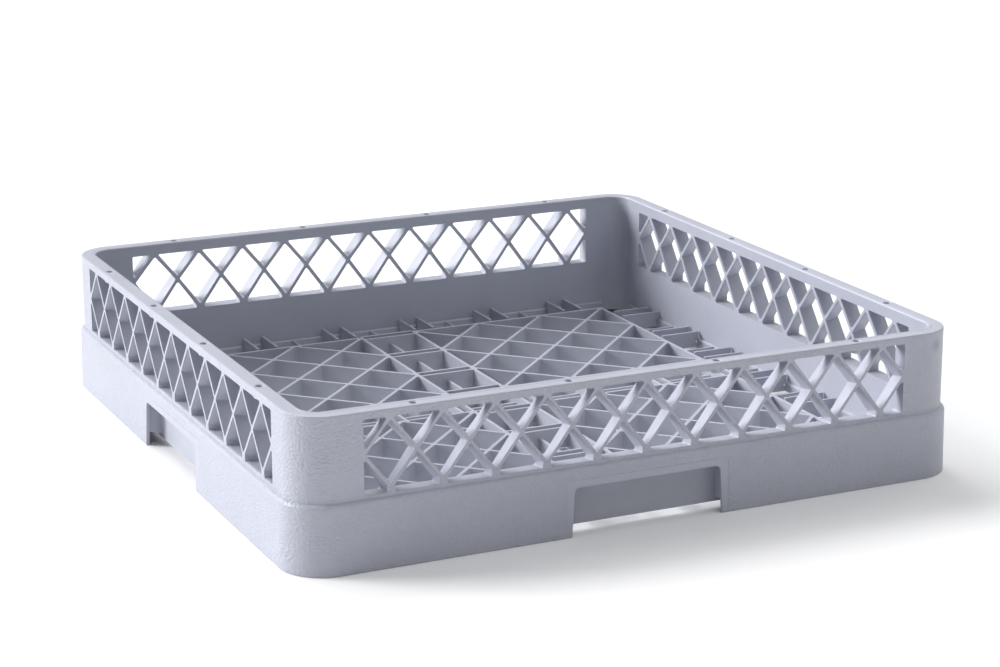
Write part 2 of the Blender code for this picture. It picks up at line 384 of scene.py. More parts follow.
@dataclass(frozen=True)
class Polypropylene:
    """One finish of the moulding.

    Attributes:
        name: The material's name.
        grain: How the mould's face was finished.
        colour: Body colour, linear.
        roughness: Middle roughness of the satin face.
        grain_size: Size of one pebble of the grain, in metres.
        grain_depth: Depth of the grain, in metres.
        hold: Half width and height of the hand-holds with their plain margin, in metres.
        mark: Middle of the small soft mark on one post, in metres.
        corner_centre: Distance from the middle at which the wall's corners turn, in metres.
        outer_radius: Distance from there past which a face is an outer one, in metres.
    """

    name: str
    grain: Grain
    colour: tuple[float, float, float] = (0.440, 0.455, 0.530)
    roughness: float = 0.36
    grain_size: float = 0.0020
    grain_depth: float = 0.0007
    hold: tuple[float, float] = (0.0608, 0.0390)
    mark: tuple[float, float, float] = (0.2285, -0.2443, 0.0950)
    corner_centre: float = 0.219
    outer_radius: float = 0.0264

    def build(self) -> bpy.types.Material:
        """Builds the material.

        Returns:
            The finished material.
        """
        made = bpy.data.materials.new(self.name)
        made.use_nodes = True
        tree = made.node_tree
        tree.nodes.clear()
        board = Board(tree)
        place = board.node("ShaderNodeTexCoord", out="Object")
        split = board.tree.nodes.new("ShaderNodeSeparateXYZ")
        board.feed(split.inputs[0], place)
        x, y, z = (Wire(board, split.outputs[i]) for i in range(3))
        cloud = self._noise(board, place, 9.0, 3.0)
        mottle = self._noise(board, place, 140.0, 4.0)
        speck = self._noise(board, place, 1500.0, 2.0)
        outer = self._outer_mask(board, x, y)
        colour = self._colour(board, cloud, mottle, speck, (x, y, z), outer)
        roughness = (
            (cloud - 0.5) * 0.10 + (mottle - 0.5) * 0.12 + (speck - 0.5) * 0.05
            + self.roughness + outer * (0.10 if self.grain is Grain.PEBBLED else 0.0)
        )
        height = self._height(board, place, x, y, z, mottle, outer)
        bump = board.node(
            "ShaderNodeBump", {}, {"Strength": 1.0, "Distance": 1.0, "Height": height}
        )
        shader = tree.nodes.new("ShaderNodeBsdfPrincipled")
        board.feed(shader.inputs["Base Color"], colour)
        board.feed(shader.inputs["Roughness"], roughness)
        board.feed(shader.inputs["Normal"], bump)
        shader.inputs["IOR"].default_value = 1.49
        shader.inputs["Specular IOR Level"].default_value = 0.5
        output = tree.nodes.new("ShaderNodeOutputMaterial")
        tree.links.new(shader.outputs[0], output.inputs["Surface"])
        return made

    @staticmethod
    def _noise(board: Board, place: Wire, scale: float, detail: float) -> Wire:
        """Noise on object coordinates, from 0 to 1."""
        return board.node(
            "ShaderNodeTexNoise",
            {"noise_dimensions": "3D"},
            {"Vector": place, "Scale": scale, "Detail": detail, "Roughness": 0.55},
        )

    def _outer_mask(self, board: Board, x: Wire, y: Wire) -> Wire:
        """One on the wall's outer faces, zero inside."""
        along = (abs(x) - self.corner_centre).at_least(0.0)
        across = (abs(y) - self.corner_centre).at_least(0.0)
        reach = (along * along + across * across).root()
        return reach.ramp(self.outer_radius, self.outer_radius + 0.0003)

    def _colour(
        self,
        board: Board,
        cloud: Wire,
        mottle: Wire,
        speck: Wire,
        place: tuple[Wire, Wire, Wire],
        outer: Wire,
    ) -> Wire:
        """Body colour with flow clouding, fine specks, one mark and patchy darkening near the
        foot.

        Args:
            board: The material's node board.
            cloud: Broad noise.
            mottle: Fine noise.
            speck: Very fine noise.
            place: Place to the right, to the back and above the floor.
            outer: One on the outer faces.

        Returns:
            The colour.
        """
        x, y, z = place
        red, green, blue = self.colour
        light = (red * 1.045, green * 1.045, blue * 1.035, 1.0)
        dark = (red * 0.955, green * 0.957, blue * 0.967, 1.0)
        darker_tone = (red * 0.86, green * 0.86, blue * 0.84, 1.0)
        blend = ((cloud - 0.5) * 1.1 + (mottle - 0.5) * 0.5 + 0.5).ramp(0.15, 0.85)
        body = self._mix(board, blend, dark, light)
        fleck = (speck - 0.62).at_least(0.0) * 0.9
        body = self._mix(board, fleck, body, darker_tone)
        away = (x - self.mark[0]) ** 2.0 + (y - self.mark[1]) ** 2.0 + (z - self.mark[2]) ** 2.0
        deep = (red * 0.60, green * 0.60, blue * 0.62, 1.0)
        body = self._mix(board, away.root().ramp(0.0066, 0.0010) * 0.60, body, deep)
        # darker in noisy patches within about 5 mm of the floor, on the outer faces only
        foot = 1.0 - z.ramp(0.0004, 0.0050)
        darker_foot_patches = mottle.ramp(0.46, 0.66) * foot * outer * 0.55
        return self._mix(board, darker_foot_patches, body, darker_tone)

    @staticmethod
    def _mix(board: Board, factor: Wire, first: object, second: object) -> Wire:
        """Blend of two colours."""
        return board.node(
            "ShaderNodeMix",
            {"data_type": "RGBA", "blend_type": "MIX", "clamp_factor": True},
            {0: factor, 6: first, 7: second},
            out=2,
        )

    def _height(
        self,
        board: Board,
        place: Wire,
        x: Wire,
        y: Wire,
        z: Wire,
        mottle: Wire,
        outer: Wire,
    ) -> Wire:
        """Relief of the face in metres.

        Args:
            board: The material's node board.
            place: Object coordinates.
            x: Place to the right.
            y: Place to the back.
            z: Height above the floor.
            mottle: Fine noise.
            outer: One on the outer faces.

        Returns:
            Height for the bump.
        """
        still = mottle * 0.00001
        if self.grain is Grain.SATIN:
            fine = self._noise(board, place, 2600.0, 2.0)
            return still + fine * 0.000008
        if self.grain is Grain.DRAWN:
            stretch = board.node(
                "ShaderNodeMapping", {}, {"Vector": place, "Scale": (1.0, 1.0, 0.06)}
            )
            drawn = self._noise(board, stretch, 1900.0, 2.0)
            return still + drawn * 0.000014
        flattened = board.node(
            "ShaderNodeMapping", {}, {"Vector": place, "Scale": (1.0, 1.0, 1.5)}
        )
        cells = board.node(
            "ShaderNodeTexVoronoi",
            {"feature": "SMOOTH_F1"},
            {"Vector": flattened, "Scale": 1.0 / self.grain_size, "Smoothness": 0.7},
            out="Distance",
        )
        worn = self._noise(board, place, 60.0, 2.0).ramp(0.25, 0.75) * 0.5 + 0.5
        beside = abs(x).at_most(abs(y)) - self.hold[0]
        plain = (z - self.hold[1]).at_least(beside).ramp(-0.0002, 0.0003)
        pebbles = (1.0 - cells) * self.grain_depth * worn * outer * plain
        fine = self._noise(board, place, 2600.0, 2.0) * 0.000008
        return still + fine + pebbles


# -------------------------------------------------------------- mesh workshop


def soften(
    bm: bmesh.types.BMesh, width: float, steps: int, wanted: Callable = lambda edge: True
) -> None:
    """Rounds the sharp edges of a mesh.

    Args:
        bm: The mesh.
        width: Width of the rounding, in metres.
        steps: Segments across it.
        wanted: Says whether an edge is to be rounded; by default each one is.
    """
    sharp = [
        edge
        for edge in bm.edges
        if len(edge.link_faces) == 2
        and edge.calc_face_angle(0.0) > math.radians(25)
        and wanted(edge)
    ]
    bmesh.ops.bevel(
        bm,
        geom=sharp,
        offset=width,
        offset_type="OFFSET",
        segments=steps,
        profile=0.5,
        affect="EDGES",
        clamp_overlap=True,
        loop_slide=True,
    )


def place_piece(
    name: str,
    mesh: bpy.types.Mesh,
    material: bpy.types.Material,
    nodes: Sequence[str] = (),
) -> bpy.types.Object:
    """Makes a finished piece and ties it to the frame.

    Args:
        name: The piece's name.
        mesh: Its mesh, in place.
        material: Its finish.
        nodes: The frame's nodes that it stands for.

    Returns:
        The piece.
    """
    mesh.name = name
    mesh.materials.clear()
    mesh.materials.append(material)
    for polygon in mesh.polygons:
        polygon.material_index = 0
    piece = bpy.data.objects.new(name, mesh)
    bpy.context.scene.collection.objects.link(piece)
    weighted = piece.modifiers.new("weighted_normals", "WEIGHTED_NORMAL")
    weighted.keep_sharp = True
    graph = bpy.context.evaluated_depsgraph_get()
    final = bpy.data.meshes.new_from_object(piece.evaluated_get(graph), depsgraph=graph)
    piece.modifiers.clear()
    piece.data = final
    bpy.data.meshes.remove(mesh)
    final.name = name
    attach(piece, ROOT)
    if nodes:
        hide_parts(*nodes)
    LOG.info("%s: %d faces", name, len(final.polygons))
    return piece


def place_copies(
    name: str,
    mesh: bpy.types.Mesh,
    material: bpy.types.Material,
    node: str,
    places: type[Place],
) -> list[bpy.types.Object]:
    """Places a turned copy of a mesh at each side or corner.

    Args:
        name: The pieces' name, before the place's.
        mesh: The mesh of the first place.
        material: Its finish.
        node: Name of the frame's nodes that they stand for, before the place's.
        places: The sides or the corners.

    Returns:
        The pieces.
    """
    pieces = []
    for place in places:
        turned = mesh.copy()
        turned.transform(place.turn)
        nodes = [f"{node}_{place.word}"]
        pieces.append(place_piece(f"{name}_{place.word}", turned, material, nodes))
    return pieces


def arc_points(
    centre: tuple[float, float], radius: float, start: float, end: float, steps: int
) -> list[tuple[float, float]]:
    """Points on an arc, with both ends, from angles in degrees."""
    made = []
    for i in range(steps + 1):
        angle = math.radians(start + (end - start) * i / steps)
        made.append((centre[0] + radius * math.cos(angle), centre[1] + radius * math.sin(angle)))
    return made


def rectangle(low: float, high: float, bottom: float, top: float) -> list[tuple[float, float]]:
    """An upright rectangle as (y, z)."""
    return [(low, bottom), (low, top), (high, top), (high, bottom)]


def circle(middle: Vector, radius: float, steps: int = 24) -> list[Vector]:
    """Places on a level circle."""
    angles = [2 * math.pi * i / steps for i in range(steps)]
    return [middle + radius * Vector((math.cos(a), math.sin(a), 0.0)) for a in angles]


def join_rings(
    bm: bmesh.types.BMesh, rings: Sequence[Sequence[Vector]], closed: bool = False
) -> None:
    """Adds a solid made of rings of places, each joined to the next.

    Args:
        bm: The mesh to add to.
        rings: The rings, all of one length.
        closed: Whether the last ring joins the first; else each end has a cap.
    """
    drawn = [[bm.verts.new(place) for place in ring] for ring in rings]
    made = []
    if closed:
        drawn.append(drawn[0])
    else:
        made = [bm.faces.new(drawn[0]), bm.faces.new(drawn[-1][::-1])]
    for low, high in zip(drawn, drawn[1:]):
        for i in range(len(low)):
            j = (i + 1) % len(low)
            made.append(bm.faces.new((low[j], low[i], high[i], high[j])))
    bmesh.ops.recalc_face_normals(bm, faces=made)


def add_plate(
    bm: bmesh.types.BMesh,
    profile: Sequence[tuple[float, float]],
    low: float,
    high: float,
    turn: Matrix,
) -> None:
    """Adds a closed plate: a profile in (y, z) drawn along x, then turned.

    Args:
        bm: The mesh to add to.
        profile: Outline as (y, z).
        low: Where the plate starts along x.
        high: Where it ends.
        turn: Rotation to its side.
    """
    join_rings(bm, [[turn @ Vector((x, y, z)) for y, z in profile] for x in (low, high)])


def finished_mesh(bm: bmesh.types.BMesh, name: str, angle: float = 38.0) -> bpy.types.Mesh:
    """The mesh of a bmesh, smooth but for edges past this many degrees."""
    mesh = bpy.data.meshes.new(name)
    bm.to_mesh(mesh)
    bm.free()
    mesh.shade_smooth()
    mesh.set_sharp_from_angle(angle=math.radians(angle))
    return mesh


def hidden_helper(bm: bmesh.types.BMesh, name: str) -> bpy.types.Object:
    """An object of a bmesh, to be taken away after use."""
    mesh = bpy.data.meshes.new(name)
    bm.to_mesh(mesh)
    bm.free()
    helper = bpy.data.objects.new(name, mesh)
    bpy.context.scene.collection.objects.link(helper)
    return helper


# ----------------------------------------------------------------- the rack


@dataclass
class Frame:
    """Main sizes, read from the frame, in metres."""

    half: float
    height: float
    band_half: float
    inside_half: float
    window_half: float
    shelf_top: float
    shelf_bottom: float
    rib_bottom: float
    rib_top: float
    low_rib_top: float
    stub_top: float
    block_near: float
    block_far: float
    corner_centre: float = 0.219

    @classmethod
    def read(cls) -> "Frame":
        """Reads the sizes from the frame's nodes.

        Returns:
            The sizes.
        """
        skirt_low, _skirt_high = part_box("skirt_front")
        rim_low, rim_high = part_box("rim_front")
        shelf_low, shelf_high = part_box("shelf_front")
        grid_low, grid_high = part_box("floor_grid_front_left")
        channel_low, _channel_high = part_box("channel_front")
        _centre_low, centre_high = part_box("channel_centre")
        _comb_low, comb_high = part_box("comb_front")
        return cls(
            half=-skirt_low.y,
            height=rim_high.z,
            band_half=-rim_low.y,
            inside_half=-rim_high.y,
            window_half=rim_high.x,
            shelf_top=shelf_high.z,
            shelf_bottom=shelf_low.z,
            rib_bottom=grid_low.z,
            rib_top=grid_high.z,
            low_rib_top=centre_high.z,
            stub_top=comb_high.z,
            block_near=-grid_high.x - 0.00125,
            block_far=-channel_low.y - 0.0011,
        )

    @property
    def middle(self) -> float:
        """Distance of the wall band's middle plane from the centre."""
        return (self.band_half + self.inside_half) / 2


@dataclass
class Window:
    """The window that each wall's lattice fills.

    Attributes:
        half: Half its width.
        top: Height of its upper edge on the outer face.
        bottom: Height of its lower edge on the outer face.
        fall: How much lower the upper one is on the inner face.
        sill_fall: How much lower the lower one is on the inner face.
        drop: How far the sill lies below the lowest crossings.
        sill_round: Rounding of the sill's outer edge.
        frame: Width of the strip of wall that goes with the lattice.
        diamonds: Number of diamonds along it.
        bar: Width of a bar on the outer face.
    """

    half: float
    top: float = 0.0998
    bottom: float = 0.0530
    fall: float = 0.0033
    sill_fall: float = 0.0007
    drop: float = 0.0031
    sill_round: float = 0.0016
    frame: float = 0.0016
    diamonds: int = 11
    bar: float = 0.0020

    @property
    def pitch(self) -> float:
        """Distance between crossings."""
        return 2 * self.half / self.diamonds

    @property
    def middle(self) -> float:
        """Height of the crossings on the outer face."""
        return (self.top + self.bottom) / 2

    @property
    def rise(self) -> float:
        """Height from a crossing to the window's edge."""
        return (self.top - self.bottom) / 2

    @property
    def strip_low(self) -> float:
        """Lower edge of the strip of wall that goes with the lattice, on the outer face."""
        return self.bottom - self.drop - self.sill_round - self.frame / 4

    @property
    def bar_along(self) -> float:
        """Half a bar's width measured along the window."""
        return self.bar / 2 * math.hypot(self.pitch / 2, self.rise) / self.rise

    @property
    def bar_up(self) -> float:
        """Half a bar's width measured up the window."""
        return self.bar / 2 * math.hypot(self.pitch / 2, self.rise) / (self.pitch / 2)


@dataclass
class SidePieces:
    """A piece that repeats on each side; a subclass fills one side's mesh.

    Attributes:
        frame: The rack's main sizes.
    """

    frame: Frame
    name: ClassVar[str]
    slot: ClassVar[str]
    smooth_angle: ClassVar[float]

    def fill(self, bm: bmesh.types.BMesh, side: Side) -> None:
        """Adds one side's solids to its mesh."""
        raise NotImplementedError

    def nodes(self, side: Side) -> list[str]:
        """The frame's nodes that one side's piece stands for."""
        return []

    def build(self, material: bpy.types.Material) -> list[bpy.types.Object]:
        """Builds and dresses the four pieces.

        Args:
            material: Their finish.

        Returns:
            The pieces.
        """
        pieces = []
        for side in Side:
            bm = bmesh.new()
            self.fill(bm, side)
            mesh = finished_mesh(bm, self.name, self.smooth_angle)
            name = f"{self.name}_{side.word}"
            pieces.append(place_piece(name, mesh, material, self.nodes(side)))
        return pieces


@dataclass
class WallMoulding:
    """The continuous wall: skirt, shoulder, band, rim and inner wall, with its openings."""

    frame: Frame
    window: Window
    skirt_wall: float = 0.0025
    inner_wall: float = 0.0032
    inner_bottom: float = 0.0045
    draft: float = 0.0009
    inner_draft: float = 0.0006
    shoulder: float = 0.0028
    root: float = 0.0006
    foot_round: float = 0.0008
    inner_foot_round: float = 0.0004
    under_round: float = 0.0012
    wall_foot_round: float = 0.0005
    rim_round: float = 0.0011
    groove: float = 0.0027
    groove_half: float = 0.00025
    groove_depth: float = 0.0003
    hold_half_top: float = 0.0545
    hold_half_bottom: float = 0.0570
    hold_height: float = 0.034
    hold_corner: float = 0.0035
    hold_depth: float = 0.0010
    peg_radius: float = 0.0025
    peg_lead: float = 0.0009
    peg_bottom: float = 0.090
    peg_pitch: float = 0.110
    corner_steps: int = 14

    def profile(self) -> list[tuple[float, float]]:
        """The wall's section as (distance from the middle, height), closed."""
        f = self.frame
        rim = f.height - self.rim_round
        groove = f.inside_half + self.groove
        centre = (f.half - self.draft - self.shoulder, f.shelf_top - self.shoulder)
        start = (f.band_half + self.root * 2 / 3 - centre[0]) / self.shoulder
        inside_foot = f.half - self.skirt_wall
        inner_out = f.inside_half + self.inner_wall
        under = f.shelf_bottom - self.under_round
        wall_foot = self.inner_bottom + self.wall_foot_round
        points = arc_points((f.inside_half + self.rim_round, rim), self.rim_round, 180, 90, 4)
        points += [
            (groove - self.groove_half, f.height),
            (groove, f.height - self.groove_depth),
            (groove + self.groove_half, f.height),
        ]
        points += arc_points((f.band_half - self.rim_round, rim), self.rim_round, 90, 0, 4)
        points.append((f.band_half, f.shelf_top + self.root))
        points.append((f.band_half + self.root / 4, f.shelf_top + self.root / 6))
        points += arc_points(centre, self.shoulder, math.degrees(math.acos(start)), 0, 6)
        for x, z, radius, begin, end, steps in (
            (f.half - self.foot_round, self.foot_round, self.foot_round, 0, -90, 3),
            (
                inside_foot + self.inner_foot_round,
                self.inner_foot_round,
                self.inner_foot_round,
                -90,
                -180,
                2,
            ),
            (
                inside_foot - self.inner_draft - self.under_round,
                under,
                self.under_round,
                0,
                90,
                3,
            ),
            (inner_out + self.under_round, under, self.under_round, 90, 180, 3),
            (inner_out - self.wall_foot_round, wall_foot, self.wall_foot_round, 0, -90, 2),
            (f.inside_half + self.wall_foot_round, wall_foot, self.wall_foot_round, -90, -180, 2),
        ):
            points += arc_points((x, z), radius, begin, end, steps)
        return points

    def swept(self) -> bmesh.types.BMesh:
        """Sweeps the section round the four corners.

        Returns:
            The closed wall without openings.
        """
        bm = bmesh.new()
        centre = self.frame.corner_centre
        section = self.profile()
        rings = []
        for corner in range(4):
            hub = Matrix.Rotation(QUARTER * corner, 3, "Z") @ Vector((-centre, -centre, 0.0))
            for step in range(self.corner_steps + 1):
                angle = math.pi + QUARTER * corner + QUARTER * step / self.corner_steps
                out = Vector((math.cos(angle), math.sin(angle), 0.0))
                places = []
                for reach, height in section:
                    spot = hub + out * (reach - centre)
                    places.append(Vector((spot.x, spot.y, height)))
                rings.append(places)
        join_rings(bm, rings, closed=True)
        return bm

    def window_cutter(self, bm: bmesh.types.BMesh, turn: Matrix) -> None:
        """Adds the block that clears one window for its lattice.

        Args:
            bm: The cutter mesh to add to.
            turn: Rotation to its side.
        """
        f, w = self.frame, self.window
        low, high = w.strip_low, w.top + w.frame
        thickness = f.band_half - f.inside_half
        outer, inner = -f.band_half - BEYOND, -f.inside_half + BEYOND
        low_extra = w.sill_fall / thickness * BEYOND
        high_extra = w.fall / thickness * BEYOND
        profile = [
            (outer, low + low_extra),
            (inner, low - w.sill_fall - low_extra),
            (inner, high - w.fall - high_extra),
            (outer, high + high_extra),
        ]
        reach = w.half + w.frame
        add_plate(bm, profile, -reach, reach, turn)

    def hold_outline(self) -> list[tuple[float, float]]:
        """Outline of the hand-hold as (along, up), from the left foot to the right one."""
        radius = self.hold_corner
        slope = (self.hold_half_bottom - self.hold_half_top) / self.hold_height
        beside = self.hold_half_top + slope * radius - radius
        level = self.hold_height - radius
        left = arc_points((-beside, level), radius, 180, 90, 6)
        right = arc_points((beside, level), radius, 90, 0, 6)
        foot = self.hold_half_bottom
        return [(-foot, -BEYOND)] + left + right + [(foot, -BEYOND)]

    def hold_cutter(self, bm: bmesh.types.BMesh, turn: Matrix) -> None:
        """Adds the cutter of one hand-hold, which stops short of the inner wall."""
        f = self.frame
        outline = self.hold_outline()
        inner = f.inside_half + self.inner_wall + self.hold_depth
        reaches = (f.half + BEYOND, inner)
        join_rings(bm, [[turn @ Vector((u, -r, v)) for u, v in outline] for r in reaches])

    def peg_cutter(self, bm: bmesh.types.BMesh, turn: Matrix) -> None:
        """Adds the four peg holes of one side, each with a small lead-in."""
        f = self.frame
        sizes = (
            (self.peg_radius, self.peg_bottom),
            (self.peg_radius, f.height - 0.0005),
            (self.peg_radius + self.peg_lead, f.height + 0.0004),
        )
        for step in PEG_STEPS:
            along = step * self.peg_pitch
            rings = [circle(Vector((along, -f.middle, z)), radius) for radius, z in sizes]
            join_rings(bm, [[turn @ place for place in ring] for ring in rings])

    def cutters(self) -> list[bpy.types.Object]:
        """The openings' cutters as two helpers, so that no two cutters in one overlap."""
        openings, pegs = bmesh.new(), bmesh.new()
        for side in Side:
            self.window_cutter(openings, side.turn)
            self.hold_cutter(openings, side.turn)
            self.peg_cutter(pegs, side.turn)
        return [hidden_helper(openings, "openings"), hidden_helper(pegs, "peg_holes")]

    def build(self, material: bpy.types.Material) -> bpy.types.Object:
        """Builds and dresses the wall.

        Args:
            material: Its finish.

        Returns:
            The finished piece.
        """
        blank = hidden_helper(self.swept(), "wall_raw")
        helpers = self.cutters()
        for helper in helpers:
            boolean = blank.modifiers.new(helper.name, "BOOLEAN")
            boolean.operation = "DIFFERENCE"
            boolean.solver = "EXACT"
            boolean.object = helper
        graph = bpy.context.evaluated_depsgraph_get()
        bm = bmesh.new()
        bm.from_object(blank, graph)
        for spare in (blank, *helpers):
            bpy.data.objects.remove(spare, do_unlink=True)
        cut = finished_mesh(bm, "wall", 30.0)
        regions = ("rim", "sill", "shelf", "skirt", "inner_wall")
        nodes = [f"{region}_{side.word}" for region in regions for side in Side]
        regions = ("corner_post", "shelf", "skirt", "inner_wall")
        nodes += [f"{region}_{corner.word}" for region in regions for corner in Corner]
        return place_piece("wall_moulding", cut, material, nodes)


@dataclass
class WindowLattices:
    """The crossed bars in each window, thin at the outer face and swelling inwards.

    Attributes:
        frame: The rack's main sizes.
        window: The window that they fill.
        corner_round: Rounding of the openings' corners.
        swell: How much each side of a bar stands proud of its outer edge, as
            (share of the thickness, metres, share of the sill's rounding still to go).
    """

    frame: Frame
    window: Window
    corner_round: float = 0.0012
    swell: tuple[tuple[float, float, float], ...] = (
        (0.008, 0.00010, 0.58),
        (0.030, 0.00016, 0.29),
        (0.065, 0.00020, 0.09),
        (0.115, 0.00024, 0.0),
        (0.40, 0.00036, 0.0),
        (0.75, 0.00046, 0.0),
        (0.93, 0.00046, 0.0),
        (0.975, 0.00034, 0.0),
        (1.0, 0.00014, 0.0),
    )

    def inputs(self, board: ShapeBoard) -> dict[str, Wire]:
        """Args:
            board: The tree's board.

        Returns:
            A wire for each size.
        """
        w, f = self.window, self.frame
        wide = w.pitch / 2 - w.bar_along
        tall = w.rise - w.bar_up
        slant = math.hypot(wide, tall)
        return board.sizes(
            half_width=w.half + w.frame,
            half_height=w.rise + w.frame,
            diamonds=w.diamonds,
            pitch=w.pitch,
            opening_half_width=wide,
            opening_height=tall,
            diamond_inradius=wide * tall / slant,
            triangle_inradius=wide * tall / (wide + slant),
            end_inradius=(wide + tall - slant) / 2,
            corner_radius=self.corner_round,
            thickness=f.band_half - f.inside_half,
            fall=w.fall,
            sill_fall=w.sill_fall,
            drop=w.drop,
            sill_round=w.sill_round,
            strip_drop=w.bottom - w.frame - w.strip_low,
            rise=w.rise,
            bar_rise=w.bar_up,
            window_half=w.half,
        )

    @staticmethod
    def openings(
        board: ShapeBoard, points: Wire, inradius: Wire, outline: Wire
    ) -> Wire:
        """Puts an opening at each point and remembers the middle that it shrinks to.

        Args:
            board: The tree's board.
            points: Where the openings' middles are.
            inradius: Distance from the middle to the opening's edges.
            outline: The opening, about its middle.

        Returns:
            The outlines.
        """
        x, y, _z = board.split(board.node("GeometryNodeInputPosition"))
        marked = board.remember(points, "hub", board.vector(x, y, inradius))
        return board.copies(marked, outline)

    @staticmethod
    def end_opening(board: ShapeBoard, s: dict[str, Wire], across: float, up: float) -> Wire:
        """The right-angled opening at one end of the window, about its middle.

        Args:
            board: The tree's board.
            s: The tree's inputs.
            across: -1 at the left end, 1 at the right.
            up: -1 at the lower edge, 1 at the upper.

        Returns:
            Its outline.
        """
        ring = board.node(
            "GeometryNodeCurvePrimitiveCircle",
            {"mode": "RADIUS"},
            {"Resolution": 3, "Radius": 1.0},
        )
        index = board.node("GeometryNodeInputIndex")
        is_second = 1.0 - abs(index - 1.0).at_most(1.0)
        is_third = 1.0 - abs(index - 2.0).at_most(1.0)
        x = (s["end_inradius"] - s["opening_half_width"] * is_second) * across
        y = (s["end_inradius"] - s["opening_height"] * is_third) * up
        return board.node(
            "GeometryNodeSetPosition", {}, {"Geometry": ring, "Position": board.vector(x, y)}
        )

    def placed(self, board: ShapeBoard, s: dict[str, Wire]) -> Wire:
        """All the openings' outlines on the outer face, corners rounded.

        Args:
            board: The tree's board.
            s: The tree's inputs.

        Returns:
            The outlines.
        """
        step = board.vector(s["pitch"])
        first = board.vector(s["pitch"] * 0.5 - s["window_half"])
        diamond = board.ring(
            4, board.vector(s["opening_half_width"], s["opening_height"], 1.0)
        )
        row = board.row(s["diamonds"], first, step)
        shapes = [self.openings(board, row, s["diamond_inradius"], diamond)]
        wide = s["opening_half_width"] * (2.0 / math.sqrt(3.0))
        tall = s["opening_height"] * (2.0 / 3.0)
        ring = board.ring(3, board.vector(wide, tall, 1.0), -QUARTER)
        triangle = board.move(
            ring, offset=board.vector(0.0, s["triangle_inradius"] - tall * 0.5)
        )
        for up in (1.0, -1.0):
            height = (s["rise"] - s["triangle_inradius"]) * up
            start = board.vector(s["pitch"] - s["window_half"], height)
            row = board.row(s["diamonds"] - 1.0, start, step)
            shape = triangle if up > 0 else board.move(triangle, turn=(0.0, 0.0, math.pi))
            shapes.append(self.openings(board, row, s["triangle_inradius"], shape))
            for across in (-1.0, 1.0):
                middle = board.vector(
                    (s["window_half"] - s["end_inradius"]) * across,
                    (s["rise"] - s["end_inradius"]) * up,
                )
                row = board.row(1, middle, step)
                shape = self.end_opening(board, s, across, up)
                shapes.append(self.openings(board, row, s["end_inradius"], shape))
        return board.rounded(board.join(*shapes), s["corner_radius"], 5)

    @staticmethod
    def at_edge(s: dict[str, Wire], y: Wire) -> Wire:
        """Zero inside the window, one on its upper and lower edge.

        Args:
            s: The tree's inputs.
            y: Height on the outer face, before the sill is lowered.

        Returns:
            The weight.
        """
        return ((abs(y) - s["rise"] + s["bar_rise"]) / s["bar_rise"]).ramp(0.0, 0.92)

    def inward(
        self,
        board: ShapeBoard,
        s: dict[str, Wire],
        share: float,
        swell: float,
        rounding: float,
    ) -> Wire:
        """Where a point of the outlines is at some depth.

        Args:
            board: The tree's board.
            s: The tree's inputs.
            share: Share of the thickness.
            swell: How much a bar's side stands proud there.
            rounding: Share of the sill's rounding that is still to go there.

        Returns:
            The place.
        """
        x, y, _z = board.split(board.recall("start"))
        hub_x, hub_y, inradius = board.split(board.recall("hub"))
        along = abs(x) - s["window_half"]
        at_end = along.ramp(-0.0010, -0.0001)
        at_edge = self.at_edge(s, y)
        is_low = y.ramp(0.0001, -0.0001)
        is_strip = (abs(y) - s["rise"]).ramp(0.0006, 0.0007)
        shrink = swell / inradius.at_least(0.001)
        weight = at_edge * (1.0 - share) + (abs(y) / s["rise"]).at_most(1.0) * share
        fall = s["fall"] * (1.0 - is_low) + s["sill_fall"] * is_low
        fall = s["fall"] * 0.5 * (1.0 - weight) + fall * weight
        lowered = s["drop"] + s["sill_round"] * rounding
        lowered = lowered * (1.0 - is_strip) + s["strip_drop"] * is_strip
        new_x = x + (hub_x - x) * shrink * (1.0 - at_end)
        new_y = y + (hub_y - y) * shrink * (1.0 - at_edge)
        new_y = new_y - fall * share - lowered * weight * is_low
        return board.vector(new_x, new_y, s["thickness"] * (-1.0 * share))

    def flank(
        self,
        board: ShapeBoard,
        s: dict[str, Wire],
        outlines: Wire,
        layers: Sequence[tuple[float, float, float]],
    ) -> Wire:
        """The walls of the openings, drawn inwards layer by layer.

        Args:
            board: The tree's board.
            s: The tree's inputs.
            outlines: Outlines on the outer face.
            layers: Depth, swell and rounding of each layer.

        Returns:
            The walls.
        """
        shape = board.node("GeometryNodeCurveToMesh", {}, {"Curve": outlines})
        newest: object = True
        for share, swell, rounding in layers:
            drawn = board.node(
                "GeometryNodeExtrudeMesh",
                {"mode": "EDGES"},
                {"Mesh": shape, "Selection": newest, "Offset Scale": 0.0},
            )
            newest = Wire(board, drawn.socket.node.outputs["Top"])
            shape = board.node(
                "GeometryNodeSetPosition",
                {},
                {
                    "Geometry": drawn,
                    "Selection": newest,
                    "Position": self.inward(board, s, share, swell, rounding),
                },
            )
        return shape

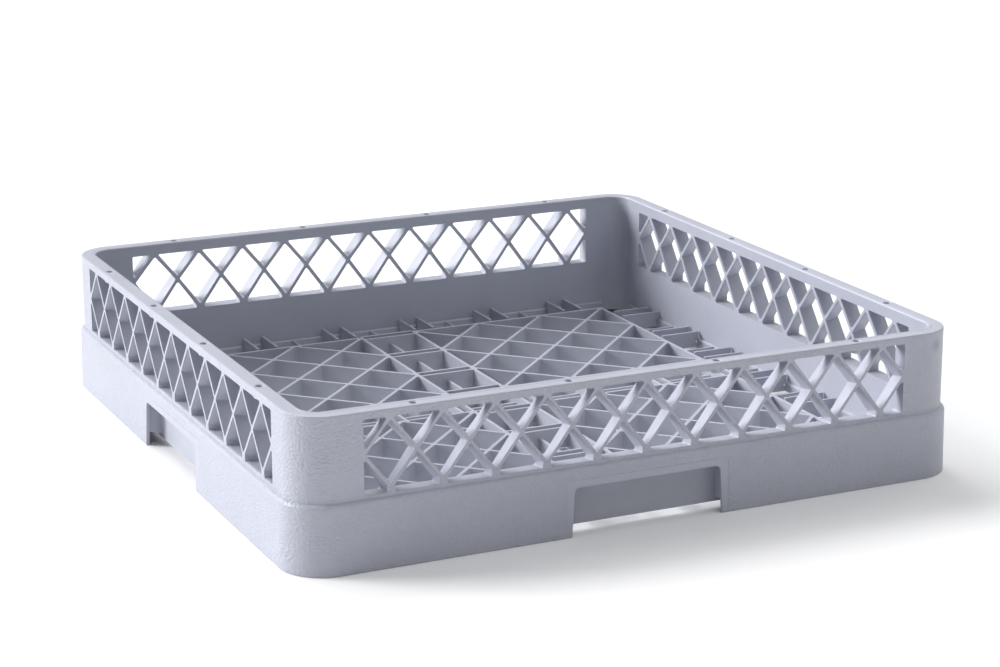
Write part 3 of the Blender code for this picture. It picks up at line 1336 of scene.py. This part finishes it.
    def tree(self, material: bpy.types.Material) -> ShapeBoard:
        """Builds the lattice tree: one window's panel with its openings, as the front's.

        Args:
            material: The finish.

        Returns:
            The tree, ready to run.
        """
        board = ShapeBoard("window_lattice")
        s = self.inputs(board)
        place = board.node("GeometryNodeInputPosition")
        border = board.node(
            "GeometryNodeCurvePrimitiveQuadrilateral",
            {"mode": "RECTANGLE"},
            {"Width": s["half_width"] * 2.0, "Height": s["half_height"] * 2.0},
        )
        border = board.remember(border, "start", place)
        openings = board.remember(self.placed(board, s), "start", place)
        faces = []
        for share, swell, rounding in ((0.0, 0.0, 1.0), self.swell[-1]):
            drawn = board.node(
                "GeometryNodeSetPosition",
                {},
                {
                    "Geometry": board.join(border, openings),
                    "Position": self.inward(board, s, share, swell, rounding),
                },
            )
            face = board.node("GeometryNodeFillCurve", {"mode": "NGONS"}, {"Curve": drawn})
            x, y, _z = board.split(board.node("GeometryNodeInputPosition"))
            depth = s["thickness"] * (-1.0 * share)
            faces.append(
                board.node(
                    "GeometryNodeSetPosition",
                    {},
                    {"Geometry": face, "Position": board.vector(x, y, depth)},
                )
            )
        start = self.inward(board, s, 0.0, 0.0, 1.0)
        walls = []
        for outline, layers in ((openings, self.swell), (border, ((1.0, 0.0, 0.0),))):
            drawn = board.node(
                "GeometryNodeSetPosition", {}, {"Geometry": outline, "Position": start}
            )
            walls.append(self.flank(board, s, drawn, layers))
        closed = board.node(
            "GeometryNodeMergeByDistance",
            {},
            {"Geometry": board.join(*faces, *walls), "Distance": 4e-6},
        )
        board.finish(closed, material)
        return board

    def build(self, material: bpy.types.Material) -> list[bpy.types.Object]:
        """Builds and dresses the four lattices.

        Args:
            material: Their finish.

        Returns:
            The four pieces.
        """
        w, f = self.window, self.frame
        panel = self.tree(material).run()
        stand = Matrix.Translation((0.0, -f.band_half, w.middle)) @ Matrix.Rotation(
            QUARTER, 4, "X"
        )
        panel.transform(stand)
        bm = bmesh.new()
        bm.from_mesh(panel)
        bmesh.ops.recalc_face_normals(bm, faces=bm.faces[:])
        front = finished_mesh(bm, "lattice", 42.0)
        name = "window_lattice"
        return place_copies(name, front, material, "lattice", Side)


@dataclass
class PegSockets(SidePieces):
    """The bosses that hang under the rim round the peg holes."""

    radius: float = 0.0043
    hole: float = 0.0025
    bottom: float = 0.0967
    top: float = 0.1005
    pitch: float = 0.110
    name: ClassVar[str] = "peg_sockets"
    slot: ClassVar[str] = "smooth_plastic"
    smooth_angle: ClassVar[float] = 40.0

    def fill(self, bm: bmesh.types.BMesh, side: Side) -> None:
        """Adds one side's stepped sockets with their bores."""
        section = [
            (self.hole, self.top),
            (self.hole, self.bottom + 0.0002),
            (self.hole + 0.0002, self.bottom),
            (self.radius - 0.0010, self.bottom),
            (self.radius - 0.0006, self.bottom + 0.0004),
            (self.radius - 0.0005, self.bottom + 0.0012),
            (self.radius, self.bottom + 0.0015),
            (self.radius + 0.0001, self.top),
        ]
        for step in PEG_STEPS:
            spot = (step * self.pitch, -self.frame.middle)
            rings = [circle(Vector((*spot, height)), radius) for radius, height in section]
            turned = [[side.turn @ place for place in ring] for ring in rings]
            join_rings(bm, turned, closed=True)


@dataclass
class HoldRibs(SidePieces):
    """The ribs that close each end of a hand-hold, from the inner wall to the skirt."""

    near: float = 0.0573
    width: float = 0.0022
    inner: float = 0.2375
    outer: float = 0.2478
    inner_low: float = 0.0070
    outer_low: float = 0.0100
    name: ClassVar[str] = "hold_ribs"
    slot: ClassVar[str] = "smooth_plastic"
    smooth_angle: ClassVar[float] = 38.0

    def fill(self, bm: bmesh.types.BMesh, side: Side) -> None:
        """Adds one side's pair of ribs."""
        top = self.frame.shelf_bottom + 0.0004
        profile = [
            (-self.outer, self.outer_low),
            (-self.outer, top),
            (-self.inner, top),
            (-self.inner, self.inner_low),
        ]
        for sign in (-1, 1):
            ends = sorted((sign * self.near, sign * (self.near + self.width)))
            add_plate(bm, profile, ends[0], ends[1], side.turn)
        soften(bm, 0.0003, 1)


@dataclass
class FloorBlocks:
    """The four lattice blocks of the floor."""

    frame: Frame
    rib: float = 0.0026
    border: float = 0.0025
    half_cell: float = 0.029
    cells: int = 3
    corner_round: float = 0.0012
    edge_round: float = 0.0002

    def tree(self, material: bpy.types.Material) -> ShapeBoard:
        """Builds the block tree: a bordered square with diamond openings, about the middle.

        Args:
            material: The finish.

        Returns:
            The tree, ready to run.
        """
        f = self.frame
        reach = self.half_cell - self.rib / 2 * math.sqrt(2.0)
        board = ShapeBoard("floor_block")
        s = board.sizes(
            side=2 * self.cells * self.half_cell + self.border,
            half_cell=self.half_cell,
            diamond_reach=reach,
            edge_half_width=reach - self.border / 2,
            half_side=self.cells * self.half_cell,
            half_border=self.border / 2,
            corner_radius=self.corner_round,
            thickness=f.rib_top - f.rib_bottom,
            cells=self.cells,
        )
        border = board.node(
            "GeometryNodeCurvePrimitiveQuadrilateral",
            {"mode": "RECTANGLE"},
            {"Width": s["side"], "Height": s["side"]},
        )
        diamond = board.ring(
            4, board.vector(s["diamond_reach"], s["diamond_reach"], 1.0)
        )
        step = board.vector(s["half_cell"] * 2.0)
        rows = []
        steps = 2 * self.cells
        for line in range(1, steps):
            odd = line % 2 == 0
            columns = self.cells if odd else self.cells - 1
            first = 1.0 if odd else 2.0
            start = board.vector(
                s["half_cell"] * first - s["half_side"],
                s["half_cell"] * float(line) - s["half_side"],
            )
            rows.append(board.copies(board.row(columns, start, step), diamond))
        half_width = s["edge_half_width"]
        wide = half_width * (2.0 / math.sqrt(3.0))
        tall = half_width * (2.0 / 3.0)
        triangle = board.ring(3, board.vector(wide, tall, 1.0), QUARTER)
        start = board.vector(
            s["half_cell"] - s["half_side"], s["half_border"] + tall * 0.5 - s["half_side"]
        )
        edge = board.copies(board.row(s["cells"], start, step), triangle)
        edges = [board.move(edge, turn=(0.0, 0.0, QUARTER * i)) for i in range(4)]
        openings = board.join(*rows, *edges)
        outlines = board.join(border, board.rounded(openings, s["corner_radius"], 4))
        board.finish(board.plate(outlines, board.vector(0.0, 0.0, s["thickness"])), material)
        return board

    def build(self, material: bpy.types.Material) -> list[bpy.types.Object]:
        """Builds and dresses the four blocks.

        Args:
            material: Their finish.

        Returns:
            The four pieces.
        """
        f = self.frame
        middle = f.block_near + self.cells * self.half_cell
        flat = self.tree(material).run()
        flat.transform(Matrix.Translation((-middle, -middle, f.rib_bottom)))
        bm = bmesh.new()
        bm.from_mesh(flat)
        bmesh.ops.recalc_face_normals(bm, faces=bm.faces[:])

        def level(edge: bmesh.types.BMEdge) -> bool:
            """Whether an edge lies flat, so that upright rib corners stay as drawn."""
            return abs(edge.verts[0].co.z - edge.verts[1].co.z) < 1e-5

        soften(bm, self.edge_round, 2, level)
        block = finished_mesh(bm, "block", 50.0)
        return place_copies(
            "floor_block", block, material, "floor_grid", Corner
        )


@dataclass
class ChannelRibs(SidePieces):
    """The cross-shaped channel between the blocks: paired tall ribs and a low spine."""

    rib: float = 0.0022
    pair_half: float = 0.00425
    half_cell: float = 0.029
    cells: int = 3
    edge_round: float = 0.0002
    name: ClassVar[str] = "channel_ribs"
    slot: ClassVar[str] = "floor_plastic"
    smooth_angle: ClassVar[float] = 50.0

    def places(self) -> list[float]:
        """Distances of the cross ribs from the middle."""
        f = self.frame
        made = [f.block_near, f.block_near + 2 * self.pair_half]
        for cell in range(1, self.cells):
            node = f.block_near + 2 * cell * self.half_cell
            made += [node - self.pair_half, node + self.pair_half]
        return made + [f.block_far - 2 * self.pair_half, f.block_far]

    def nodes(self, side: Side) -> list[str]:
        """The frame's nodes that one side's piece stands for."""
        centre = ["channel_centre"] if side is Side.FRONT else []
        return [f"channel_{side.word}"] + centre

    def fill(self, bm: bmesh.types.BMesh, side: Side) -> None:
        """Adds one arm of the channel."""
        f = self.frame
        half = self.rib / 2
        reach = f.block_near - 0.0008
        for place in self.places():
            profile = rectangle(-place - half, -place + half, f.rib_bottom, f.rib_top)
            add_plate(bm, profile, -reach, reach, side.turn)
        spine = rectangle(-f.block_far + 0.0003, 0.0, f.rib_bottom, f.low_rib_top)
        add_plate(bm, spine, -half, half, side.turn)
        soften(bm, self.edge_round, 2)


@dataclass
class WallCombs(SidePieces):
    """The ledge at the foot of each wall and the notched rib pairs that reach for it."""

    stub_bottom: float = 0.006
    rib: float = 0.0022
    stub_pitch: float = 0.0686
    stub_half: float = 0.008
    ledge_width: float = 0.0025
    ledge_top: float = 0.012
    notch: float = 0.0026
    short_of_wall: float = 0.0012
    edge_round: float = 0.0002
    name: ClassVar[str] = "wall_comb"
    slot: ClassVar[str] = "floor_plastic"
    smooth_angle: ClassVar[float] = 50.0

    def nodes(self, side: Side) -> list[str]:
        """The frame's nodes that one side's piece stands for."""
        return [f"comb_{side.word}"]

    def stub_profile(self, top: float) -> list[tuple[float, float]]:
        """Side view of a rib pair's rib as (y, z), with the notch at its wall end.

        Args:
            top: Height of the rib.

        Returns:
            The outline.
        """
        tip = -self.frame.inside_half + self.short_of_wall
        root = -self.frame.block_far - 0.0006
        if top <= self.ledge_top + 0.002:
            return rectangle(root, tip, self.stub_bottom, top)
        return [
            (root, self.stub_bottom),
            (root, top),
            (tip, top),
            (tip, self.ledge_top + 0.0004),
            (tip + self.notch, self.ledge_top - 0.0002),
            (tip + self.notch, self.ledge_top - 0.0014),
            (tip + 0.0002, self.stub_bottom + 0.0002),
            (tip + 0.0004, self.stub_bottom),
        ]

    def fill(self, bm: bmesh.types.BMesh, side: Side) -> None:
        """Adds one side's ledge and ribs."""
        f = self.frame
        half = self.rib / 2
        tall, low = self.stub_profile(f.stub_top), self.stub_profile(f.low_rib_top)
        for step in (-2.5, -1.5, -0.5, 0.5, 1.5, 2.5):
            for offset in (-self.stub_half, self.stub_half):
                u = step * self.stub_pitch + offset
                add_plate(bm, tall, u - half, u + half, side.turn)
        for step in range(-2, 3):
            u = step * self.stub_pitch
            add_plate(bm, low, u - half, u + half, side.turn)
        wall = -f.inside_half - 0.0004
        end = f.corner_centre - 0.002
        ledge = [
            (wall, self.stub_bottom),
            (wall, self.ledge_top + 0.0010),
            (wall + self.ledge_width, self.ledge_top),
            (wall + self.ledge_width, self.stub_bottom),
        ]
        add_plate(bm, ledge, -end, end, side.turn)
        soften(bm, self.edge_round, 2)


# -------------------------------------------------------------------- studio


@dataclass(frozen=True)
class Lamp:
    """A soft distant light.

    Attributes:
        name: Its name.
        toward: Direction from the rack to it.
        strength: How bright it is.
        spread: Its angular size, in degrees.
    """

    name: str
    toward: tuple[float, float, float]
    strength: float
    spread: float

    def build(self) -> None:
        """Hangs the lamp."""
        lamp = bpy.data.lights.new(self.name, "SUN")
        lamp.energy = self.strength
        lamp.angle = math.radians(self.spread)
        hung = bpy.data.objects.new(self.name, lamp)
        direction = Vector(self.toward).normalized()
        hung.rotation_euler = direction.to_track_quat("Z", "Y").to_euler()
        bpy.context.scene.collection.objects.link(hung)


@dataclass(frozen=True)
class Studio:
    """Floor, light and camera.

    Attributes:
        camera_place: Where the camera stands.
        camera_turn: How it is turned, as X, Y, Z angles.
        lens: Its focal length on a 36 mm sensor, in millimetres.
        lamps: The soft lights.
        ambient: Strength of the light from all round.
        floor_grey: How light the floor is.
    """

    camera_place: tuple[float, float, float] = (-0.75734, -1.62421, 0.57202)
    camera_turn: tuple[float, float, float] = (1.29719, 0.0008, -0.44103)
    lens: float = 90.03
    lamps: tuple[Lamp, ...] = (
        Lamp("back_soft", (-0.10, 1.00, 0.95), 1.6, 40.0),
        Lamp("left_soft", (-1.00, 0.72, 0.55), 3.7, 30.0),
        Lamp("top_soft", (0.15, -0.40, 1.00), 0.95, 50.0),
        Lamp("right_soft", (0.80, 0.50, 0.80), 0.7, 60.0),
    )
    ambient: float = 0.15
    floor_grey: float = 0.95

    def build(self) -> None:
        """Sets up the floor, the lights and the camera."""
        self._floor()
        self._air()
        for lamp in self.lamps:
            lamp.build()
        self._camera()
        bpy.context.scene.view_settings.view_transform = "Standard"

    def _floor(self) -> None:
        """A plain pale floor."""
        mesh = bpy.data.meshes.new("studio_floor")
        bm = bmesh.new()
        bmesh.ops.create_grid(bm, x_segments=1, y_segments=1, size=12.0)
        bm.to_mesh(mesh)
        bm.free()
        floor = bpy.data.objects.new("studio_floor", mesh)
        bpy.context.scene.collection.objects.link(floor)
        paint = bpy.data.materials.new("studio_paper")
        paint.use_nodes = True
        shader = paint.node_tree.nodes["Principled BSDF"]
        grey = self.floor_grey
        shader.inputs["Base Color"].default_value = (grey, grey, grey, 1.0)
        shader.inputs["Roughness"].default_value = 0.9
        shader.inputs["Specular IOR Level"].default_value = 0.2
        mesh.materials.append(paint)

    def _air(self) -> None:
        """Even light from all round."""
        world = bpy.data.worlds.new("studio_air")
        bpy.context.scene.world = world
        world.use_nodes = True
        sky = world.node_tree.nodes["Background"]
        sky.inputs["Color"].default_value = (0.95, 0.97, 1.0, 1.0)
        sky.inputs["Strength"].default_value = self.ambient

    def _camera(self) -> None:
        """The camera."""
        lens = bpy.data.cameras.new("camera")
        lens.lens = self.lens
        lens.sensor_width = 36.0
        lens.clip_start = 0.05
        lens.clip_end = 50.0
        camera = bpy.data.objects.new("camera", lens)
        camera.location = self.camera_place
        camera.rotation_euler = self.camera_turn
        bpy.context.scene.collection.objects.link(camera)
        bpy.context.scene.camera = camera


def corners(box: tuple[Vector, Vector]) -> list[list[float]]:
    """A box as plain lists of numbers."""
    return [[float(value) for value in corner] for corner in box]


def main() -> None:
    """Builds the rack on the frame, then the studio."""
    logging.basicConfig(level=logging.INFO, format="%(message)s")
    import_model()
    grained = Polypropylene("grained_polypropylene", Grain.PEBBLED).build()
    smooth = Polypropylene("smooth_polypropylene", Grain.SATIN, roughness=0.32).build()
    # painted shade: the floor pieces' colour is a little darker than the wall's, though the rack
    # is one moulding of one plastic
    ribbed_shaded = Polypropylene(
        "floor_polypropylene", Grain.DRAWN, colour=(0.425, 0.440, 0.512), roughness=0.34
    ).build()
    frame = Frame.read()
    window = Window(half=frame.window_half)
    WallMoulding(frame, window).build(grained)
    WindowLattices(frame, window).build(grained)
    PegSockets(frame).build(smooth)
    HoldRibs(frame).build(smooth)
    FloorBlocks(frame).build(ribbed_shaded)
    ChannelRibs(frame).build(ribbed_shaded)
    WallCombs(frame).build(ribbed_shaded)
    Studio().build()


if __name__ == "__main__":
    main()
